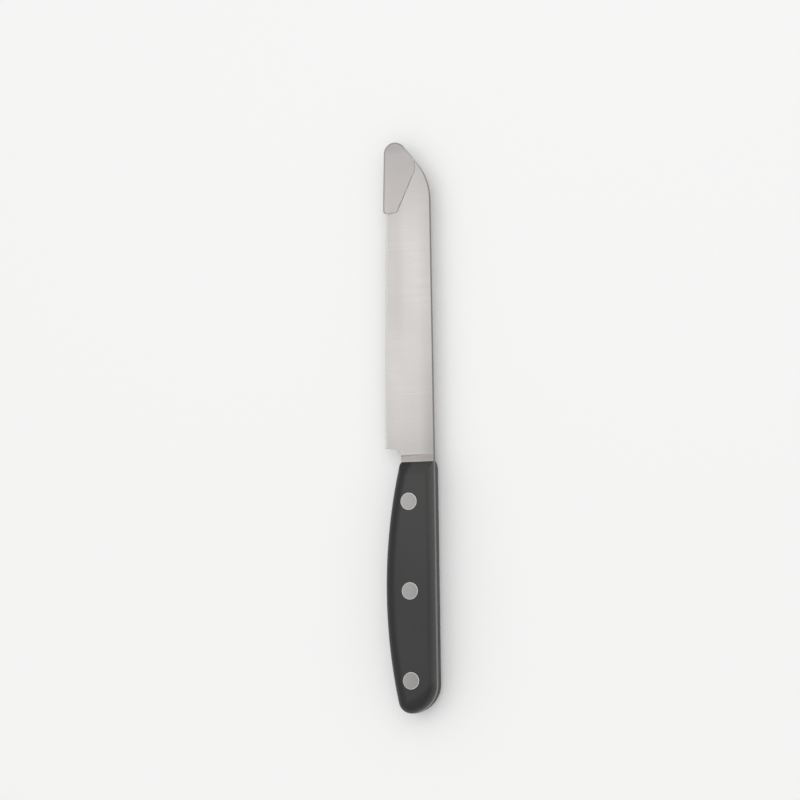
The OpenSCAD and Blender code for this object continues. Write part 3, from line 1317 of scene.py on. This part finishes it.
    def blank(self) -> bpy.types.Object:
        """The steel before its teeth and holes, with its colour zones marked on it, painted
        shade and highlight among them.
        """
        top, bottom = self.limits()
        xs = self.stations()
        points = [p for x in xs for p in self.section(x, top(x), bottom(x))]
        count = len(points) // len(xs)
        faces: list[list[int]] = [list(range(count))]
        zones = [Zone.RIM]
        for low in range(0, len(points) - count, count):
            for i in range(count):
                j = (i + 1) % count
                face = [low + i, low + j, low + count + j, low + count + i]
                faces.append(face)
                middle = np.mean([points[corner] for corner in face], axis=0)
                zones.append(self.zone(i, middle[0], middle[1]))
        faces.append(list(range(len(points) - count, len(points))))
        zones.append(Zone.RIM)
        piece = mesh_piece("ground_blade", DATUM.place(points), faces)
        edge = range(self.bevel_column, self.bevel_column + 4)
        mark(piece, "zone", "FACE", [zone.value for zone in zones])
        mark(piece, "hollow", "POINT", [self.hollow(x, y) for x, y, _ in points])
        mark(piece, "cut", "POINT", [
            float(i in edge and self.form.heel_x <= x <= self.form.nose[0])
            for x in xs for i in range(count)
        ])
        return piece

    def build(self, finish: Finish) -> bpy.types.Object:
        """Builds, serrates, drills and dresses the steel."""
        first, last = self.form.heel_x, self.form.nose[0]
        piece = self.teeth().grow(
            self.blank(),
            First_Tooth=DATUM.x + first * MM,
            Tooth_Pitch=(last - first) / self.form.tooth_count * MM,
            Tooth_Depth=self.form.tooth_h * MM,
            Material=finish.material(),
        )
        with editing(piece.data) as work:
            bmesh.ops.recalc_face_normals(work, faces=work.faces)
        handle, past = self.form.handle, self.form.steel_t
        carve(piece, *[
            drill(f"tang_hole_{i}", x, handle.rivet_y, self.hole_d / 2, -past, past)
            for i, x in enumerate(handle.rivet_xs)
        ])
        crisp(piece, self.sharp_turn)
        return piece

    @staticmethod
    def teeth() -> FormTree:
        """The tree that grinds a row of shallow hollows into the edge."""
        tree = FormTree("edge_teeth", takes_mesh=True)
        mesh = Wire(tree, tree.source.outputs["Geometry"])
        first = tree.input("First Tooth")
        pitch = tree.input("Tooth Pitch")
        depth = tree.input("Tooth Depth")
        x, _, _ = tree.parts(tree.add("GeometryNodeInputPosition"))
        u = ((x - first) / pitch).math("FRACT")
        hollow = 4 * depth * u * (1 - u)
        cut = tree.add(
            "GeometryNodeInputNamedAttribute", {"data_type": "FLOAT"}, {"Name": "cut"}
        )
        shift = tree.add("ShaderNodeCombineXYZ", None, {"Y": -(hollow * cut)})
        ground = tree.add(
            "GeometryNodeSetPosition", None, {"Geometry": mesh, "Offset": shift}
        )
        tree.finish(ground)
        return tree


@dataclass
class Scales:
    """The two moulded handle scales."""

    form: HandleForm
    steel_t: float
    edge_round: float = 5.0
    spine_round: float = 2.0
    round_steps: int = 15
    outline_fine: int = 4
    ramp_l: float = 6.0
    ramp_foot: float = 0.4
    ramp_bend: float = 1.6
    ramp_steps: int = 25
    bore_d: float = 7.35
    bore_depth: float = 2.0
    hole_d: float = 5.0
    bore_flare: float = 0.12
    past: float = 10.0

    def rings(self, out: float) -> list[list[list[float]]]:
        """The rounded block as a stack of outlines.

        Args:
            out: 1 for the left scale, -1 for the right one.

        Returns:
            The rings, from the tang to the face.
        """
        half = self.form.thickness / 2
        levels = [(0.0, self.steel_t / 2)]
        for turn in np.radians(np.linspace(0, 90, self.round_steps)):
            levels.append((1 - math.cos(turn), half - self.edge_round * (1 - math.sin(turn))))
        rings = []
        for share, z in levels:
            insets = (self.edge_round * share, self.spine_round * share)
            outline = self.form.outline(self.past, *insets, self.outline_fine)
            rings.append([[x, y, out * z] for x, y in outline])
        return rings

    def ramp_cutter(self, out: float) -> bpy.types.Object:
        """What is cut off in front: everything over the convex ramp."""
        half = self.form.thickness / 2
        rise = half - self.steel_t / 2 - self.ramp_foot
        line = [(-self.ramp_l * u, half - rise * (1 - u) ** self.ramp_bend)
                for u in np.linspace(0, 1, self.ramp_steps)]
        outline = (
            [(0, -self.past), (0, half - rise)] + line[1:]
            + [(-self.ramp_l, half + self.past), (2 * self.past, half + self.past),
               (2 * self.past, -self.past)]
        )
        return prism(
            "ramp_cutter", outline, lambda p, y: (p[0], y, out * p[1]),
            -self.past, 4 * self.past,
        )

    def scale(self, name: str, out: float, material: bpy.types.Material) -> bpy.types.Object:
        """Builds one scale.

        Args:
            name: the piece's name.
            out: 1 for the left scale, -1 for the right one.
            material: its finish.

        Returns:
            The piece.
        """
        half = self.form.thickness / 2
        y = self.form.rivet_y
        piece = ring_stack(name, self.rings(out))
        cutters = [self.ramp_cutter(out)]
        for i, x in enumerate(self.form.rivet_xs):
            cutters += [
                drill(f"bore_{i}", x, y, self.bore_d / 2, out * (half - self.bore_depth),
                      out * half, self.bore_flare),
                drill(f"hole_{i}", x, y, self.hole_d / 2, 0, out * half),
            ]
        carve(piece, *cutters)
        crisp(piece)
        return dress(piece, material)

    def build(self, finish: Finish) -> list[bpy.types.Object]:
        """Builds both scales."""
        material = finish.material()
        return [
            self.scale("left_scale_moulding", 1.0, material),
            self.scale("right_scale_moulding", -1.0, material),
        ]


@dataclass
class Rivets:
    """Three two-part rivets: studs on the left, sockets on the right."""

    handle: HandleForm
    head_d: float = 7.3
    head_t: float = 2.0
    tube_d: float = 4.8
    shank_d: float = 3.2
    fit: float = 0.1
    end_gap: float = 0.4
    chamfer: float = 0.22
    lip: float = 0.3
    rim_rows: int = 2

    def turned(
        self, name: str, profile: Callable[[FormTree], list[tuple[Number, Number]]]
    ) -> FormTree:
        """A tree that turns a profile and puts it in its place.

        Args:
            name: the tree's name.
            profile: makes the named inputs and gives radius and height of
                each ring, from the inner end to the head's face.

        Returns:
            The tree.
        """
        tree = FormTree(name, takes_mesh=False)
        rings = profile(tree)
        last = len(rings) - 1
        blank = tree.add(
            "GeometryNodeMeshCylinder", {"fill_type": "NGON"},
            {"Vertices": tree.input("Segments", "NodeSocketInt"),
             "Side Segments": last, "Radius": 1.0, "Depth": float(last)},
        )
        x, y, z = tree.parts(tree.add("GeometryNodeInputPosition"))
        level = z + last / 2
        radius, height = (
            tree.add(
                "GeometryNodeIndexSwitch", {"data_type": "FLOAT", "items": last + 1},
                {0: level.math("ROUND"), **{k + 1: ring[part] for k, ring in enumerate(rings)}},
            )
            for part in (0, 1)
        )
        moved = tree.add(
            "ShaderNodeCombineXYZ", None, {0: x * radius, 1: y * radius, 2: height}
        )
        # Marks the chamfer faces that get the painted highlight.
        above = level.math("GREATER_THAN", float(last - self.rim_rows))
        marked = tree.add(
            "GeometryNodeStoreNamedAttribute", {"data_type": "FLOAT", "domain": "FACE"},
            {"Geometry": blank, "Name": "rim",
             "Value": above * level.math("LESS_THAN", last - 0.25)},
        )
        turned = tree.add(
            "GeometryNodeSetPosition", None, {"Geometry": marked, "Position": moved}
        )
        placed = tree.add(
            "GeometryNodeTransform", None,
            {"Geometry": turned,
             "Translation": tree.input("Place", "NodeSocketVector"),
             "Rotation": tree.input("Turn", "NodeSocketVector")},
        )
        tree.finish(placed)
        return tree

    def head(self, tree: FormTree) -> tuple[Wire, Wire, list[tuple[Number, Number]]]:
        """The flush head with its rim.

        Args:
            tree: the tree that gets its inputs.

        Returns:
            Its thickness, its rim's chamfer and its rings.
        """
        radius, deep = tree.input("Head Radius"), tree.input("Head Thickness")
        rim = tree.input("Rim Chamfer")
        return deep, rim, [
            (radius, -deep), (radius, -rim),
            (radius - rim * self.lip, -(rim * self.lip)), (radius - rim, 0.0),
        ]

    def stud_profile(self, tree: FormTree) -> list[tuple[Number, Number]]:
        """The solid half: a shank and a head."""
        deep, rim, head = self.head(tree)
        shank, reach = tree.input("Shank Radius"), tree.input("Shank Length")
        return [
            (shank - rim, -(deep + reach)), (shank, rim - (deep + reach)),
            (shank, -deep), *head,
        ]

    def socket_profile(self, tree: FormTree) -> list[tuple[Number, Number]]:
        """The hollow half: a tube and a head."""
        deep, _, head = self.head(tree)
        hole, tube = tree.input("Hole Radius"), tree.input("Tube Radius")
        reach = tree.input("Tube Length")
        return [
            (hole, -deep), (hole, -(deep + reach)), (tube, -(deep + reach)),
            (tube, -deep), *head,
        ]

    def build(self, finish: Finish) -> dict[str, bpy.types.Object]:
        """Builds the six halves.

        Args:
            finish: their finish.

        Returns:
            Each piece by the CAD node that it stands for.
        """
        handle = self.handle
        stud = self.turned("turned_stud", self.stud_profile)
        socket = self.turned("turned_socket", self.socket_profile)
        inner = handle.thickness - 2 * self.head_t
        head = {
            "Head_Radius": self.head_d / 2 * MM,
            "Head_Thickness": self.head_t * MM,
            "Rim_Chamfer": self.chamfer * MM,
            "Segments": ROUND_STEPS,
            "Material": finish.material(),
        }
        shank = {
            "Shank_Radius": self.shank_d / 2 * MM,
            "Shank_Length": (inner - 2 * self.end_gap) * MM,
        }
        tube = {
            "Hole_Radius": (self.shank_d + self.fit) / 2 * MM,
            "Tube_Radius": self.tube_d / 2 * MM,
            "Tube_Length": (inner - self.end_gap) * MM,
        }
        made = {}
        for x, name in zip(handle.rivet_xs, handle.rivet_names):
            for half, tree, out, sizes in (
                ("stud", stud, 1, shank), ("socket", socket, -1, tube)
            ):
                piece = tree.grow(
                    new_piece(f"{name}_turned_{half}"),
                    Place=tuple(DATUM.place([x, handle.rivet_y, out * handle.thickness / 2])),
                    Turn=(0.0 if out > 0 else math.pi, 0.0, 0.0),
                    **head, **sizes,
                )
                crisp(piece)
                made[f"{name}_rivet_{half}"] = piece
        return made


@dataclass
class TipGuard:
    """The sleeve over the tip."""

    form: GuardForm
    round_steps: int = 8
    border_turn: float = 0.55
    border_fade: float = 0.3

    def border(self, points: np.ndarray) -> np.ndarray:
        """Which points lie round the outside and look away from the mouth, where painted shade
        goes.

        Args:
            points: the sleeve's drawing points.

        Returns:
            A number from 0 to 1 for each.
        """
        form = self.form
        outline = np.asarray(belt(form.circles()))
        along = np.roll(outline, -1, axis=0) - np.roll(outline, 1, axis=0)
        along /= np.linalg.norm(along, axis=1)[:, None]
        mouth = np.subtract(form.circles()[4][:2], form.circles()[3][:2])
        with_mouth = along @ (mouth / np.linalg.norm(mouth))
        closed = np.clip((self.border_turn - with_mouth) / self.border_fade, 0, 1)
        gaps = np.linalg.norm(points[:, None, :2] - outline[None], axis=2)
        near = gaps.min(axis=1) < 2 * form.round
        outside = np.abs(points[:, 2]) > form.room + (form.wall - form.round) / 2
        return closed[gaps.argmin(axis=1)] * (near & outside)

    def build(self, finish: Finish) -> bpy.types.Object:
        """Builds the sleeve with rounded edges and its pocket."""
        form = self.form
        half = form.room + form.wall
        turns = np.radians(np.linspace(0, 90, self.round_steps))
        levels = [(form.round + form.border, -half)]
        levels += [(form.round * (1 - math.sin(t)), -half + form.round * (1 - math.cos(t)))
                   for t in turns]
        levels += [(inset, -z) for inset, z in reversed(levels)]
        piece = ring_stack("tip_guard_sleeve", [
            [[x, y, z] for x, y in belt(form.circles(), inset)] for inset, z in levels
        ])
        pocket = prism(
            "pocket", belt(form.pocket()), lambda p, z: (p[0], p[1], z),
            -form.room, form.room,
        )
        carve(piece, pocket)
        crisp(piece)
        # Marks where the sleeve's painted shade goes.
        mark(piece, "border", "POINT", self.border(DATUM.drawn(piece)))
        return dress(piece, finish.material())


# Studio


@dataclass(frozen=True)
class Lamp:
    """A soft rectangular lamp: its place, size and aim in metres, its power in watts."""

    name: str
    place: tuple[float, float, float]
    size: Point
    power: float
    aim: tuple[float, float, float] = (0.0, 0.0, 0.0)

    def hang(self) -> None:
        """Puts the lamp into the scene."""
        data = bpy.data.lights.new(self.name, "AREA")
        data.shape = "RECTANGLE"
        data.size, data.size_y = self.size
        data.energy = self.power
        lamp = bpy.data.objects.new(self.name, data)
        lamp.location = self.place
        look = Vector(self.aim) - Vector(self.place)
        lamp.rotation_euler = look.to_track_quat("-Z", "Y").to_euler()
        bpy.context.scene.collection.objects.link(lamp)


@dataclass
class Studio:
    """The pale floor, the lights and the camera."""

    target_mm: tuple[float, float, float] = (26.52, 15.25, 0.0)
    distance: float = 1.5
    tilt: float = 21.586
    pitch: float = 4.597
    lean: float = 0.78
    focal: float = 159.4
    sensor: float = 36.0
    clip: float = 0.01
    floor_half: float = 4.0
    floor_gap: float = 0.0001
    horizon: float = 0.45
    overhead: float = 0.585
    lamps: tuple[Lamp, ...] = (
        Lamp("key", (0.12, 0.20, 0.50), (0.14, 0.18), 0.055, (0.06, 0.0, 0.0)),
        Lamp("fill", (0.45, -0.35, 0.80), (0.5, 0.5), 0.5),
    )

    def floor(self) -> None:
        """A large flat sheet just under the knife."""
        h, z = self.floor_half, CAD_BOX[0][2] - self.floor_gap
        corners = [(-h, -h, z), (h, -h, z), (h, h, z), (-h, h, z)]
        sheet = mesh_piece("pale_floor", corners, [(0, 1, 2, 3)])
        dress(sheet, PaleFloor("pale_floor").material())

    def camera(self) -> None:
        """The photograph's viewpoint: above the left face, on the spine's side."""
        tilt, lean, pitch = (math.radians(a) for a in (self.tilt, self.lean, self.pitch))
        target = Vector(DATUM.place(self.target_mm))
        back = Vector((0, -math.sin(tilt), math.cos(tilt)))
        right = Vector((0, -math.cos(tilt), -math.sin(tilt)))
        up = Vector((math.cos(lean), 0, 0)) + right * math.sin(lean)
        right = up.cross(back)
        up, back = (up * math.cos(pitch) + back * math.sin(pitch),
                    back * math.cos(pitch) - up * math.sin(pitch))
        eye = bpy.data.cameras.new("viewpoint")
        eye.lens = self.focal
        eye.sensor_width = self.sensor
        eye.clip_start = self.clip
        holder = bpy.data.objects.new("viewpoint", eye)
        bpy.context.scene.collection.objects.link(holder)
        turn = Matrix((right, up, back)).transposed().to_4x4()
        holder.matrix_world = Matrix.Translation(target + back * self.distance) @ turn
        bpy.context.scene.camera = holder

    def light(self) -> None:
        """An even pale surround and soft lamps over it."""
        world = bpy.data.worlds.new("surround")
        world.use_nodes = True
        board = Board(world.node_tree)
        _, _, height = board.parts(board.add("ShaderNodeTexCoord", output="Generated"))
        glow = board.add(
            "ShaderNodeBackground", None,
            {"Color": (1, 1, 1, 1),
             "Strength": height.math("MAXIMUM", 0.0) * self.overhead + self.horizon},
        )
        board.end("ShaderNodeOutputWorld", glow)
        bpy.context.scene.world = world
        for lamp in self.lamps:
            lamp.hang()

    def build(self) -> None:
        """Sets the whole studio up."""
        self.floor()
        self.camera()
        self.light()
        bpy.context.scene.view_settings.view_transform = "Standard"


def main() -> None:
    """Builds the pieces in order and hands them over."""
    logging.basicConfig(level=logging.INFO, format="%(name)s: %(message)s")
    handle = HandleForm()
    blade = BladeForm(handle)
    Studio().build()
    steel = Steel(blade).build(GroundSteel("ground_steel"))
    hand_over(steel, Body.KNIFE, Slot.BLADE, "blade")
    scales = Scales(handle, blade.steel_t).build(MouldedPlastic("moulded_plastic", handle))
    for piece, node in zip(scales, ("left_scale", "right_scale")):
        hand_over(piece, Body.KNIFE, Slot.SCALE, node)
    rivets = Rivets(handle).build(SandedRivet("sanded_rivet", handle))
    for node, piece in rivets.items():
        hand_over(piece, Body.KNIFE, Slot.RIVET, node)
    guard = TipGuard(GuardForm(blade)).build(FrostedSleeve("frosted_sleeve"))
    hand_over(guard, Body.GUARD, Slot.GUARD, "tip_guard")


if __name__ == "__main__":
    main()
